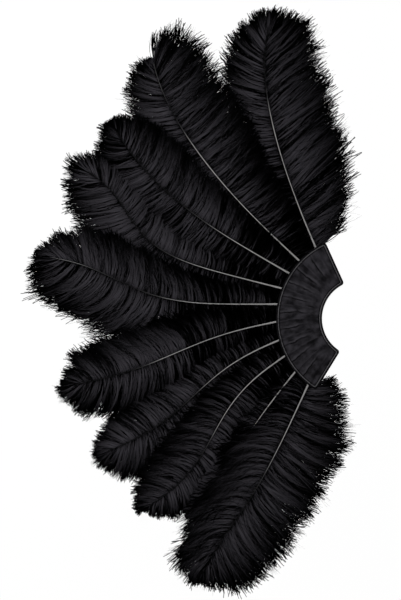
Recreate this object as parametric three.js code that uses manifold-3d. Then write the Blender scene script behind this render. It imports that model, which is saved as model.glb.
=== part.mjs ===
// Ostrich feather fan: ten plumes whose quills are held in a crescent of two sewn cloths.
// Millimetres, +Z up. The fan lies face up, plumes pointing along +Y and spread along X.
// The origin is on the underside of the crescent, at the middle of its width.

import * as THREE from 'three';
import { mergeVertices } from 'three/addons/utils/BufferGeometryUtils.js';
import loadManifold from 'manifold-3d';

const wasm = await loadManifold();
wasm.setup();

// The crescent, a sector of a ring about the fan's centre
const OUTER_RADIUS = 116;
const INNER_RADIUS = 52.5;
const HALF_SPREAD = 62; // degrees from the middle line to each straight end
const CORNER_RADIUS = 4;
const CLOTH_THICKNESS = 0.8;
const CLEARANCE = 0.3;
const ARC_SEGMENTS = 14;
const TRIM_ALLOWANCE = 2; // the front cloth is made larger than its outline by this, then trimmed
const TRIM_ANGLE = 4; // the same at its straight ends, in degrees

// The cord sewn round the front cloth, inside its edge
const CORD_RADIUS = 0.9;
const CORD_INSET = 1.7;
const CORD_SIDES = 5;
const CORD_STEPS = 150;

// The quills and the pockets that hold their roots
const QUILL_ROOT_RADIUS = 1.4;
const QUILL_TIP_RADIUS = 0.4;
const QUILL_SIDES = 6;
const QUILL_STEPS = 22;
const POCKET_DEPTH = 44; // length of quill between the two cloths
const POCKET_FADE = 9; // the cloth settles to flat over this length past a quill's root
const QUILL_RISE = 9.5; // height that a quill gains outside the crescent, lying on its own vanes
const RISE_RUN = 90;

// The ridge that the front cloth makes over a quill: distance from the quill, as a multiple of
// the quill's radius with its clearance, and share of full height
const RIDGE = [[0, 1], [0.9, 0.77], [1.7, 0.29], [2.7, 0]];

// The vanes, made of locks of barbs
const VANE_START = 6; // bare quill outside the crescent
const VANE_END = 1; // bare quill at the tip
const VANE_ROOT_THICKNESS = 1.6;
const VANE_EDGE_THICKNESS = 0.7;
const VANE_LIFT = 5; // the side over a neighbour rises by this at its edge
const VANE_REST = 0.5; // the side under a neighbour comes down to this height
const VANE_LOCKS = 12;
const VANE_BANDS = 2;
const LOCK_NOTCH = 0.12; // depth of the notch between two locks, as a share of the barbs
const BARB_SWING = 40; // degrees that the barbs swing forwards along the vane
const BARB_TIP_SWING = 45; // further swing of the last barbs, so that they close the tip
const BARB_TIP_POWER = 10;
const BARB_FIRST_SHARE = 0.3; // length of the first barbs, as a share of the longest
const FREE_FIRST_SHARE = 0.9; // the same on the fan's two outer sides, which no neighbour covers
const BARB_LAST_SHARE = 0.42;
const BARB_FULL = [0.3, 0.75]; // the barbs are longest between these shares of the vane

const PLUME_LENGTH = 300; // quill outside the crescent, on a plume of length 1
const BARB_LENGTH = 60; // longest barbs, on a side of width 1

// One row for each plume, in order from the +X end. angle: where its quill leaves the crescent.
// lean, belly and curl, in degrees: how its heading differs from radial at the crescent, in a bend
// that comes and goes about bellyAt, and at the tip. over and under: the widths of its side over one
// neighbour and of its side under the other.
const PLUMES = [
  { angle: 54.5, length: 1.04, lean: 8, belly: 4, bellyAt: 0.45, curl: 38, over: 1.47, under: 1.07 },
  { angle: 40, length: 1.14, lean: -1, belly: 4, bellyAt: 0.5, curl: 36, over: 1.25, under: 1.1 },
  { angle: 29, length: 1.05, lean: -3, belly: 4, bellyAt: 0.6, curl: 22, over: 0.97, under: 1.03 },
  { angle: 17.5, length: 1.07, lean: -7, belly: 34, bellyAt: 0.75, curl: 22, over: 0.87, under: 1.2 },
  { angle: 6.3, length: 1.08, lean: -10, belly: 22, bellyAt: 0.68, curl: 8, over: 0.93, under: 1.23 },
  { angle: -5.8, length: 0.98, lean: -9, belly: -12, bellyAt: 0.5, curl: 0, over: 1, under: 1 },
  { angle: -18.5, length: 0.94, lean: -8, belly: -20, bellyAt: 0.5, curl: 0, over: 1, under: 1 },
  { angle: -30, length: 0.96, lean: -8, belly: -27, bellyAt: 0.52, curl: 0, over: 0.9, under: 0.87 },
  { angle: -43, length: 0.82, lean: -11, belly: -5, bellyAt: 0.5, curl: 0, over: 0.83, under: 0.83 },
  { angle: -55.5, length: 0.97, lean: -12.5, belly: 7, bellyAt: 0.7, curl: 5, over: 1.2, under: 1.37 },
];

const MIDDLE_RADIUS = (OUTER_RADIUS + INNER_RADIUS) / 2;
const ROOT_RADIUS = OUTER_RADIUS - POCKET_DEPTH; // where the quills' roots end
const POCKET_HEIGHT = CLOTH_THICKNESS + CLEARANCE + QUILL_ROOT_RADIUS; // a quill's axis in its pocket
const RIDGE_UNIT = QUILL_ROOT_RADIUS + CLEARANCE;
const PATH_STEP = 2;

const radians = THREE.MathUtils.degToRad;
const degrees = THREE.MathUtils.radToDeg;
const { lerp, smoothstep } = THREE.MathUtils;

// Angles are measured at the fan's centre, from +Y towards +X.
const polar = (radius, angle) => new THREE.Vector2(radius * Math.sin(angle), radius * Math.cos(angle));

const blackCloth = { color: 0x1d1b1f, roughness: 0.85, metalness: 0 };
const greyCord = { color: 0x3a383c, roughness: 0.6, metalness: 0 };
const greyQuill = { color: 0x5c5a5c, roughness: 0.4, metalness: 0 };
const blackBarbs = { color: 0x121114, roughness: 0.7, metalness: 0 };

function piecewise(stops, x) {
  for (let i = 1; i < stops.length; i++) {
    const [x0, y0] = stops[i - 1];
    const [x1, y1] = stops[i];
    if (x <= x1) return lerp(y0, y1, (x - x0) / (x1 - x0));
  }
  return stops.at(-1)[1];
}

// Moves every vertex of a closed geometry, welds it and turns its faces outwards.
function reshape(geometry, place) {
  const bare = new THREE.BufferGeometry();
  bare.setAttribute('position', geometry.getAttribute('position').clone());
  bare.setIndex(geometry.index);
  const position = bare.getAttribute('position');
  const point = new THREE.Vector3();
  for (let i = 0; i < position.count; i++) {
    point.fromBufferAttribute(position, i);
    position.setXYZ(i, ...place(point).toArray());
  }
  const welded = mergeVertices(bare, 1e-3);
  if (signedVolume(welded) < 0) welded.setIndex([...welded.index.array].reverse());
  return welded;
}

function signedVolume(geometry) {
  const position = geometry.getAttribute('position');
  const [a, b, c] = [new THREE.Vector3(), new THREE.Vector3(), new THREE.Vector3()];
  let sum = 0;
  for (let i = 0; i < geometry.index.count; i += 3) {
    [a, b, c].forEach((corner, k) => corner.fromBufferAttribute(position, geometry.index.getX(i + k)));
    sum += a.dot(b.cross(c)) / 6;
  }
  return sum;
}

function toSolid(geometry) {
  const bare = geometry.clone();
  bare.deleteAttribute('normal');
  bare.deleteAttribute('uv');
  const welded = mergeVertices(bare, 1e-3);
  return new wasm.Manifold(new wasm.Mesh({
    numProp: 3,
    vertProperties: new Float32Array(welded.getAttribute('position').array),
    triVerts: new Uint32Array(welded.index.array),
  }));
}

function toGeometry(solid) {
  const { vertProperties, triVerts } = solid.getMesh();
  const geometry = new THREE.BufferGeometry();
  geometry.setAttribute('position', new THREE.BufferAttribute(new Float32Array(vertProperties), 3));
  geometry.setIndex([...triVerts]);
  return geometry;
}

function mesh(name, geometry, finish) {
  const shown = geometry.clone();
  shown.computeVertexNormals();
  const made = new THREE.Mesh(shown, new THREE.MeshStandardMaterial(finish));
  made.name = name;
  return made;
}

// The crescent's outline, moved in by an inset, with its four corners rounded.
function crescentOutline(inset) {
  const outer = OUTER_RADIUS - inset;
  const inner = INNER_RADIUS + inset;
  const round = Math.max(CORNER_RADIUS - inset, CORNER_RADIUS / 4);
  const endAngle = (radius) => radians(HALF_SPREAD) - Math.asin(inset / radius);
  const arcAngle = (radius) => endAngle(radius) - round / radius;
  const fromX = (angle) => Math.PI / 2 - angle;
  const shape = new THREE.Shape();
  const turn = (corner, towards) => {
    const stop = towards.clone().sub(corner).setLength(round).add(corner);
    shape.quadraticCurveTo(corner.x, corner.y, stop.x, stop.y);
  };
  const turnToArc = (corner, radius, angle) => {
    const stop = polar(radius, angle);
    shape.quadraticCurveTo(corner.x, corner.y, stop.x, stop.y);
  };
  const straight = (corner, from) => {
    const stop = from.clone().sub(corner).setLength(round).add(corner);
    shape.lineTo(stop.x, stop.y);
  };
  const corners = {
    outerLeft: polar(outer, -endAngle(outer)),
    outerRight: polar(outer, endAngle(outer)),
    innerRight: polar(inner, endAngle(inner)),
    innerLeft: polar(inner, -endAngle(inner)),
  };
  const start = polar(outer, -arcAngle(outer));
  shape.moveTo(start.x, start.y);
  shape.absarc(0, 0, outer, fromX(-arcAngle(outer)), fromX(arcAngle(outer)), true);
  turn(corners.outerRight, corners.innerRight);
  straight(corners.innerRight, corners.outerRight);
  turnToArc(corners.innerRight, inner, arcAngle(inner));
  shape.absarc(0, 0, inner, fromX(arcAngle(inner)), fromX(-arcAngle(inner)), false);
  turn(corners.innerLeft, corners.outerLeft);
  straight(corners.outerLeft, corners.innerLeft);
  turnToArc(corners.outerLeft, outer, -arcAngle(outer));
  return shape;
}

function crescentSlab(depth) {
  return new THREE.ExtrudeGeometry(crescentOutline(0), {
    depth,
    bevelEnabled: false,
    curveSegments: ARC_SEGMENTS,
  });
}

// A quill's height depends only on its distance from the centre, so that neighbours stay layered.
function quillHeight(radius) {
  return POCKET_HEIGHT + QUILL_RISE * smoothstep(radius, OUTER_RADIUS, OUTER_RADIUS + RISE_RUN);
}

// The centre line of a plume's quill. Distance s is 0 where it leaves the crescent.
class QuillPath {
  constructor(plume) {
    this.plume = plume;
    this.first = -POCKET_DEPTH;
    this.last = plume.length * PLUME_LENGTH;
    const count = Math.ceil((this.last - this.first) / PATH_STEP);
    this.step = (this.last - this.first) / count;
    const hidden = Math.round(POCKET_DEPTH / this.step);
    this.points = [];
    this.points[hidden] = polar(OUTER_RADIUS, radians(plume.angle));
    for (let i = hidden; i > 0; i--) {
      const direction = this.direction((i - 0.5 - hidden) * this.step);
      this.points[i - 1] = this.points[i].clone().addScaledVector(direction, -this.step);
    }
    for (let i = hidden; i < count; i++) {
      const direction = this.direction((i + 0.5 - hidden) * this.step);
      this.points[i + 1] = this.points[i].clone().addScaledVector(direction, this.step);
    }
  }

  heading(s) {
    const { angle, lean, belly, bellyAt, curl } = this.plume;
    if (s < 0) return radians(angle + lean * (1 + s / POCKET_DEPTH));
    const t = Math.min(s / this.last, 1);
    const bend = Math.sin(Math.PI * t ** (Math.log(0.5) / Math.log(bellyAt))) ** 2;
    return radians(angle + lean + belly * bend + curl * t ** 3);
  }

  direction(s) {
    return polar(1, this.heading(s));
  }

  at(s) {
    const place = THREE.MathUtils.clamp((s - this.first) / this.step, 0, this.points.length - 1);
    const i = Math.min(Math.floor(place), this.points.length - 2);
    const flat = this.points[i].clone().lerp(this.points[i + 1], place - i);
    return new THREE.Vector3(flat.x, flat.y, quillHeight(flat.length()));
  }

  along(s) {
    const direction = this.direction(s);
    return new THREE.Vector3(direction.x, direction.y, 0);
  }

  // Square to the quill and level, towards the plume before it
  across(s) {
    const direction = this.direction(s);
    return new THREE.Vector3(direction.y, -direction.x, 0);
  }

  // The quill's angle at the centre where it passes a radius inside the crescent
  angleAt(radius) {
    const next = this.points.findIndex((point) => point.length() >= radius);
    const i = THREE.MathUtils.clamp(next, 1, this.points.length - 1);
    const [from, to] = [this.points[i - 1], this.points[i]];
    const share = THREE.MathUtils.clamp((radius - from.length()) / (to.length() - from.length()), 0, 1);
    const point = from.clone().lerp(to, share);
    return degrees(Math.atan2(point.x, point.y));
  }

  radiusAt(s) {
    return lerp(QUILL_ROOT_RADIUS, QUILL_TIP_RADIUS, (s - this.first) / (this.last - this.first));
  }
}

const paths = PLUMES.map((plume) => new QuillPath(plume));

// Degrees at the centre that one unit of a ridge's width takes up at a radius
const ridgeDegrees = (radius) => degrees(RIDGE_UNIT / Math.max(radius, ROOT_RADIUS));

// Height of the front cloth's underside at a distance from the nearest quill, in ridge units
function frontUnderside(radius, offset) {
  const pocket = smoothstep(radius, ROOT_RADIUS - POCKET_FADE, ROOT_RADIUS - CLEARANCE);
  const ridge = piecewise(RIDGE, Math.abs(offset)) * pocket;
  return CLOTH_THICKNESS + CLEARANCE + ridge * 2 * (QUILL_ROOT_RADIUS + CLEARANCE / 2);
}

// The front cloth's grid has a column on every quill, on both flanks of its ridge and midway
// between neighbours, where the cloth creases. Each column gives an angle and its ridge offset.
function frontColumns() {
  const offsets = RIDGE.map(([offset]) => offset);
  const flat = offsets.at(-1);
  const both = [...offsets.slice(1).reverse().map((offset) => -offset), ...offsets];
  const columns = [{ angle: () => -HALF_SPREAD - TRIM_ANGLE, offset: flat }];
  paths.toReversed().forEach((path, i, ordered) => {
    for (const offset of both) {
      columns.push({ angle: (radius) => path.angleAt(radius) + offset * ridgeDegrees(radius), offset });
    }
    const next = ordered[i + 1];
    const midway = (radius) => (path.angleAt(radius) + next.angleAt(radius)) / 2;
    if (next) columns.push({ angle: midway, offset: flat });
  });
  columns.push({ angle: () => HALF_SPREAD + TRIM_ANGLE, offset: flat });
  return columns;
}

function frontCover() {
  const columns = frontColumns();
  const rows = [
    INNER_RADIUS - TRIM_ALLOWANCE,
    ROOT_RADIUS - POCKET_FADE,
    ROOT_RADIUS - CLEARANCE,
    (ROOT_RADIUS + OUTER_RADIUS) / 2,
    OUTER_RADIUS + TRIM_ALLOWANCE,
  ];
  const grid = new THREE.BoxGeometry(1, 1, 1, columns.length - 1, rows.length - 1, 1);
  const sheet = reshape(grid, ({ x, y, z }) => {
    const column = columns[Math.round((x + 0.5) * (columns.length - 1))];
    const radius = rows[Math.round((y + 0.5) * (rows.length - 1))];
    const flat = polar(radius, radians(column.angle(Math.min(radius, OUTER_RADIUS))));
    const level = frontUnderside(radius, column.offset) + (z > 0 ? CLOTH_THICKNESS : 0);
    return new THREE.Vector3(flat.x, flat.y, level);
  });
  const trim = crescentSlab(2 * POCKET_HEIGHT + 2 * CLOTH_THICKNESS);
  return toGeometry(toSolid(sheet).intersect(toSolid(trim)));
}

// Height of the front cloth's upper face at any point of the crescent
function frontTop(point) {
  const radius = point.length();
  const angle = degrees(Math.atan2(point.x, point.y));
  const offsets = paths.map((path) => Math.abs(path.angleAt(radius) - angle) / ridgeDegrees(radius));
  return frontUnderside(radius, Math.min(...offsets)) + CLOTH_THICKNESS;
}

// A ring of round section laid along the inset outline, on top of the front cloth
function edgeCord() {
  const outline = crescentOutline(CORD_INSET);
  outline.closePath();
  const step = outline.getLength() / CORD_STEPS / 2;
  const ring = new THREE.TorusGeometry(1, 0.5, CORD_SIDES, CORD_STEPS);
  return reshape(ring, (vertex) => {
    const turn = (Math.atan2(vertex.y, vertex.x) / (2 * Math.PI) + 1) % 1;
    const middle = outline.getPointAt(turn);
    const tangent = outline.getTangentAt(turn);
    const outwards = (Math.hypot(vertex.x, vertex.y) - 1) * 2 * CORD_RADIUS;
    const topNear = (distance) => frontTop(middle.clone().addScaledVector(tangent, distance));
    const height = Math.max(...[-step, 0, step].map(topNear)) + CLEARANCE + CORD_RADIUS;
    return new THREE.Vector3(
      middle.x - tangent.y * outwards,
      middle.y + tangent.x * outwards,
      height + vertex.z * 2 * CORD_RADIUS,
    );
  });
}

// A tapered rod bent along its path
function quill(path) {
  const long = path.last - path.first;
  const radii = [QUILL_TIP_RADIUS, QUILL_ROOT_RADIUS];
  const rod = new THREE.CylinderGeometry(...radii, long, QUILL_SIDES, QUILL_STEPS);
  return reshape(rod, ({ x, y, z }) => {
    const s = path.first + y + long / 2;
    return path.at(s).addScaledVector(path.across(s), x).add(new THREE.Vector3(0, 0, z));
  });
}

// Barbs stand square to the quill at its bare end and swing forwards at the tip.
const barbAngle = (u) => radians(90 - BARB_SWING * u - BARB_TIP_SWING * u ** BARB_TIP_POWER);

// Length of the barbs along the vane, as a share of its longest
function barbShare(u, first) {
  const [fullFrom, fullTo] = BARB_FULL;
  const rise = lerp(first, 1, smoothstep(u, 0, fullFrom));
  return rise * lerp(1, BARB_LAST_SHARE, smoothstep(u, fullTo, 1));
}

// One side of a plume: a thin leaf from the quill outwards, its edge notched between the locks.
// The side over a neighbour lifts towards its edge, and any other comes down to the surface.
function vane(path, isOver) {
  const { over, under } = path.plume;
  const side = isOver ? 1 : -1;
  const isFree = path === (isOver ? paths[0] : paths.at(-1));
  const longest = BARB_LENGTH * (isOver ? over : under);
  const columns = 2 * VANE_LOCKS;
  const leaf = new THREE.BoxGeometry(1, 1, 1, columns, VANE_BANDS, 1);
  return reshape(leaf, ({ x, y, z }) => {
    const u = x + 0.5;
    const v = y + 0.5;
    const s = lerp(VANE_START, path.last - VANE_END, u);
    const root = path.at(s).addScaledVector(path.across(s), side * (path.radiusAt(s) + CLEARANCE));
    const notched = Math.round(u * columns) % 2 === 1 ? 1 - LOCK_NOTCH * v : 1;
    const reach = longest * barbShare(u, isFree ? FREE_FIRST_SHARE : BARB_FIRST_SHARE) * notched * v;
    const edgeHeight = isOver && !isFree ? root.z + VANE_LIFT : VANE_REST;
    const thickness = lerp(VANE_ROOT_THICKNESS, VANE_EDGE_THICKNESS, v);
    const point = root.clone()
      .addScaledVector(path.along(s), reach * Math.cos(barbAngle(u)))
      .addScaledVector(path.across(s), side * reach * Math.sin(barbAngle(u)));
    point.z = lerp(root.z, edgeHeight, v) + z * thickness;
    return point;
  });
}

const fan = new THREE.Group();
fan.position.y = -MIDDLE_RADIUS;
const backCover = toGeometry(toSolid(crescentSlab(CLOTH_THICKNESS)));
fan.add(mesh('back_cover', backCover, blackCloth));
fan.add(mesh('front_cover', frontCover(), blackCloth));
fan.add(mesh('edge_cord', edgeCord(), greyCord));
paths.forEach((path, i) => {
  const number = String(i + 1).padStart(2, '0');
  fan.add(mesh(`quill_${number}`, quill(path), greyQuill));
  fan.add(mesh(`vane_over_${number}`, vane(path, true), blackBarbs));
  fan.add(mesh(`vane_under_${number}`, vane(path, false), blackBarbs));
});

const featherFan = new THREE.Group();
featherFan.add(fan);

export default featherFan;
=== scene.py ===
"""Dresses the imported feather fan: plumes of loose barbs on bent quills, held in a sewn crescent of cloth.

Everything is in metres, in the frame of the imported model: +Z out of the fan's front, +Y from the crescent
towards the plumes, and the origin on the underside of the crescent.
"""

import logging
import math
from dataclasses import dataclass
from enum import Enum
from typing import Callable, Iterator, Sequence, Union

import bmesh
import bpy
import numpy as np
from mathutils import Matrix, Vector, noise

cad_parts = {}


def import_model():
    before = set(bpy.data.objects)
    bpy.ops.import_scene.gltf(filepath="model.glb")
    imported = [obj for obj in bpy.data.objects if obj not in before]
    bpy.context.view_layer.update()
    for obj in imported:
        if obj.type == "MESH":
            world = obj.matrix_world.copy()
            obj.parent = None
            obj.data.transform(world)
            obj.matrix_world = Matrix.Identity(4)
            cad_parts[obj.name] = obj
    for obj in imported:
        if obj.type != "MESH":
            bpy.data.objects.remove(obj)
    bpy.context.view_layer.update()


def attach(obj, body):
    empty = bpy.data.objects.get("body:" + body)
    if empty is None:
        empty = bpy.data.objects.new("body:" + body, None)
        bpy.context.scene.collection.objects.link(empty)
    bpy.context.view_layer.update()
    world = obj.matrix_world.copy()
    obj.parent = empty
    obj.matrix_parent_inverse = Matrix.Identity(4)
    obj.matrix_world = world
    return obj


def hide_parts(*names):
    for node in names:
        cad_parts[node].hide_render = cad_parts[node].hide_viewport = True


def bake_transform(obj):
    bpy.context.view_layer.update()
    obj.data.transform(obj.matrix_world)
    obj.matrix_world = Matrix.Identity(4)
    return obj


LOG = logging.getLogger("feather_fan")
MM = 0.001
BAKE_MAP = "OFBake"
STRAND_MAP = "strand"
CLOTH_MAP = "cloth"
FOLD_MAP = "fold"
EDGE_MAP = "edge"
BLACK = (0.0, 0.0, 0.0)
WHITE = (1.0, 1.0, 1.0)
MIDDLE_PLUMES = {5, 6}
Line = Callable[[float], float]
Colour = tuple[float, float, float]
Stops = Sequence[tuple[float, Colour]]
Value = Union["Socket", float]


def smoothstep(x: float, low: float, high: float) -> float:
    """Returns 0 below low, 1 above high, and a smooth rise between them."""
    t = min(max((x - low) / (high - low), 0.0), 1.0)
    return t * t * (3 - 2 * t)


def mix(a: float, b: float, t: float) -> float:
    """Returns the value a share t of the way from a to b."""
    return a + (b - a) * t


class Socket:
    """An output of a shader node, on which arithmetic adds Math nodes."""

    def __init__(self, shader: "Shader", output: bpy.types.NodeSocket) -> None:
        """Keeps the shader that the output belongs to."""
        self.shader = shader
        self.output = output

    def _math(self, operation: str, a: Value, b: Value) -> "Socket":
        """Adds one Math node and returns its result."""
        return self.shader.node("ShaderNodeMath", {"operation": operation}, {0: a, 1: b})

    def __add__(self, other: Value) -> "Socket":
        """Returns self + other."""
        return self._math("ADD", self, other)

    __radd__ = __add__

    def __sub__(self, other: Value) -> "Socket":
        """Returns self - other."""
        return self._math("SUBTRACT", self, other)

    def __rsub__(self, other: Value) -> "Socket":
        """Returns other - self."""
        return self._math("SUBTRACT", other, self)

    def __mul__(self, other: Value) -> "Socket":
        """Returns self * other."""
        return self._math("MULTIPLY", self, other)

    __rmul__ = __mul__


class Shader:
    """A material's node tree, built from a Principled shader outwards."""

    def __init__(self, name: str) -> None:
        """Makes an empty material with a Principled shader.

        Args:
            name: the material's name.
        """
        self.material = bpy.data.materials.new(name)
        self.material.use_nodes = True
        self.tree = self.material.node_tree
        self.principled = self.tree.nodes["Principled BSDF"]
        self.surface = self.tree.nodes["Material Output"]

    def node(
        self,
        kind: str,
        settings: dict[str, object] | None = None,
        inputs: dict[str | int, object] | None = None,
        output: str | int = 0,
    ) -> Socket:
        """Adds a node.

        Args:
            kind: the node's type.
            settings: its properties. "stops" on a colour ramp is a list of (place, colour).
            inputs: values or sockets of its inputs, by name or number.
            output: the output that is returned.

        Returns:
            The chosen output.
        """
        made = self.tree.nodes.new(kind)
        for key, value in (settings or {}).items():
            if key == "stops":
                self._set_stops(made.color_ramp, value)
            else:
                setattr(made, key, value)
        for key, value in (inputs or {}).items():
            self.feed(made.inputs[key], value)
        return Socket(self, made.outputs[output])

    def _set_stops(self, ramp: bpy.types.ColorRamp, stops: Stops) -> None:
        """Gives a colour ramp its stops."""
        while len(ramp.elements) < len(stops):
            ramp.elements.new(0.5)
        for element, (place, colour) in zip(ramp.elements, stops):
            element.position = place
            element.color = (*colour, 1.0)

    def feed(self, target: bpy.types.NodeSocket, value: object) -> None:
        """Links a socket, or sets a value, on an input."""
        if isinstance(value, Socket):
            self.tree.links.new(value.output, target)
        elif isinstance(value, tuple) and len(value) == 3 and target.type == "RGBA":
            target.default_value = (*value, 1.0)
        else:
            target.default_value = value

    def set(self, **inputs: object) -> None:
        """Sets inputs of the Principled shader, with underscores for spaces in their names."""
        for key, value in inputs.items():
            self.feed(self.principled.inputs[key.replace("_", " ")], value)

    def map(self, name: str) -> Socket:
        """Returns the coordinates of a UV map."""
        return self.node("ShaderNodeUVMap", {"uv_map": name})

    def split(self, vector: Socket) -> tuple[Socket, Socket, Socket]:
        """Returns the three parts of a vector."""
        parts = self.node("ShaderNodeSeparateXYZ", inputs={0: vector}).output.node
        return tuple(Socket(self, out) for out in parts.outputs)

    def join(self, x: Value, y: Value, z: Value) -> Socket:
        """Returns a vector of three parts."""
        return self.node("ShaderNodeCombineXYZ", inputs={0: x, 1: y, 2: z})

    def noise(self, vector: Socket, scale: float, detail: float = 3.0) -> Socket:
        """Returns noise from 0 to 1 at a scale of so many spots to the metre."""
        return self.node("ShaderNodeTexNoise", inputs={"Vector": vector, "Scale": scale, "Detail": detail})

    def ramp(self, factor: Socket, stops: Stops) -> Socket:
        """Returns a colour that follows a value through stops."""
        return self.node("ShaderNodeValToRGB", {"stops": stops}, {"Fac": factor})

    def rise(self, factor: Socket, low: float, high: float) -> Socket:
        """Returns 0 where a value is below low, 1 above high, and a straight rise between them."""
        return self.ramp(factor, [(low, BLACK), (high, WHITE)])

    def sine(self, angle: Socket) -> Socket:
        """Returns the sine of an angle in radians."""
        return self.node("ShaderNodeMath", {"operation": "SINE"}, {0: angle})

    def tinted(self, colour: object, factor: Value, other: object) -> Socket:
        """Returns a colour mixed towards another."""
        made = self.tree.nodes.new("ShaderNodeMix")
        made.data_type = "RGBA"
        sockets = {socket.identifier: socket for socket in made.inputs}
        for identifier, value in (("Factor_Float", factor), ("A_Color", colour), ("B_Color", other)):
            self.feed(sockets[identifier], value)
        return Socket(self, next(s for s in made.outputs if s.identifier == "Result_Color"))

    def bump(self, height: Socket, depth: float) -> None:
        """Feeds a height, in shares of a depth in metres, to the shader's normal."""
        inputs = {"Height": height, "Distance": depth, "Strength": 1.0}
        self.set(Normal=self.node("ShaderNodeBump", inputs=inputs))


@dataclass(frozen=True)
class BarbFinish:
    """Soft black barbs, a little greyer in some strands, darker towards their ends, and darkened in some
    strands by painted shade.

    deepens, hastens, dries: how much darker the darkest strands are, by random tone and painted shade, how
    much sooner and how much rougher.
    """

    root: Colour = (0.0230, 0.0216, 0.0251)
    middle: Colour = (0.0380, 0.0357, 0.0414)
    outer: Colour = (0.0230, 0.0216, 0.0251)
    tip: Colour = (0.0020, 0.0019, 0.0022)
    # The colour that the highest tones reach: random tone and painted shade together.
    darkest_tone_and_shade: Colour = (0.0001, 0.0001, 0.0001)
    deepens: float = 1.12
    keeps: float = 0.98
    hastens: float = 0.6
    roughness: float = 0.5
    dries: float = 0.2

    def material(self) -> bpy.types.Material:
        """Returns the material, which reads the strands' own map: run along, tone across."""
        shader = Shader("black_barbs")
        run, tone, _ = shader.split(shader.map(STRAND_MAP))
        ahead = run * (self.keeps + tone * self.hastens)
        stops = [(0.0, self.root), (0.22, self.middle), (0.62, self.outer), (0.96, self.tip)]
        colour = shader.ramp(ahead, stops)
        # Strands of high tone are mixed towards the darkest colour: painted shade, with some random tone.
        shader.set(
            Base_Color=shader.tinted(colour, tone * self.deepens, self.darkest_tone_and_shade),
            Roughness=self.roughness + tone * self.dries,
            Specular_IOR_Level=0.0,
        )
        return shader.material


@dataclass(frozen=True)
class QuillFinish:
    """Grey horn, pale where it leaves the crescent, and nearly black and dull at its tip.

    streaks: how many there are along it and around it. wander: how far they shift its colours.
    roughness: of the horn, with what the streaks and the dull end add to it.
    """

    pale: Colour = (0.270, 0.262, 0.262)
    grey: Colour = (0.036, 0.035, 0.036)
    dark: Colour = (0.0020, 0.0019, 0.0022)
    streaks: tuple[float, float] = (14.0, 9.0)
    wander: float = 0.06
    streaked: float = 0.35
    roughness: tuple[float, float, float] = (0.34, 0.22, 0.44)
    gloss: float = 0.12
    depth: float = 0.12 * MM

    def material(self) -> bpy.types.Material:
        """Returns the material, which reads the quill's own map: place in colours along, turn across."""
        shader = Shader("grey_quill")
        along, around, _ = shader.split(shader.map(STRAND_MAP))
        per_length, per_turn = self.streaks
        spot = shader.join(along * per_length, around * per_turn, 0.0)
        streaks = shader.noise(spot, scale=1.0, detail=4.0)
        place = along + (streaks - 0.5) * self.wander
        horn, streaky, dull = self.roughness
        colour = shader.ramp(place, [(0.4, self.pale), (0.58, self.grey), (0.72, self.dark)])
        shader.set(
            Base_Color=shader.tinted(colour, streaks * self.streaked, self.dark),
            Roughness=horn + streaks * streaky + shader.rise(place, 0.4, 0.64) * dull,
            Specular_IOR_Level=self.gloss,
        )
        shader.bump(streaks, self.depth)
        return shader.material


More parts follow.
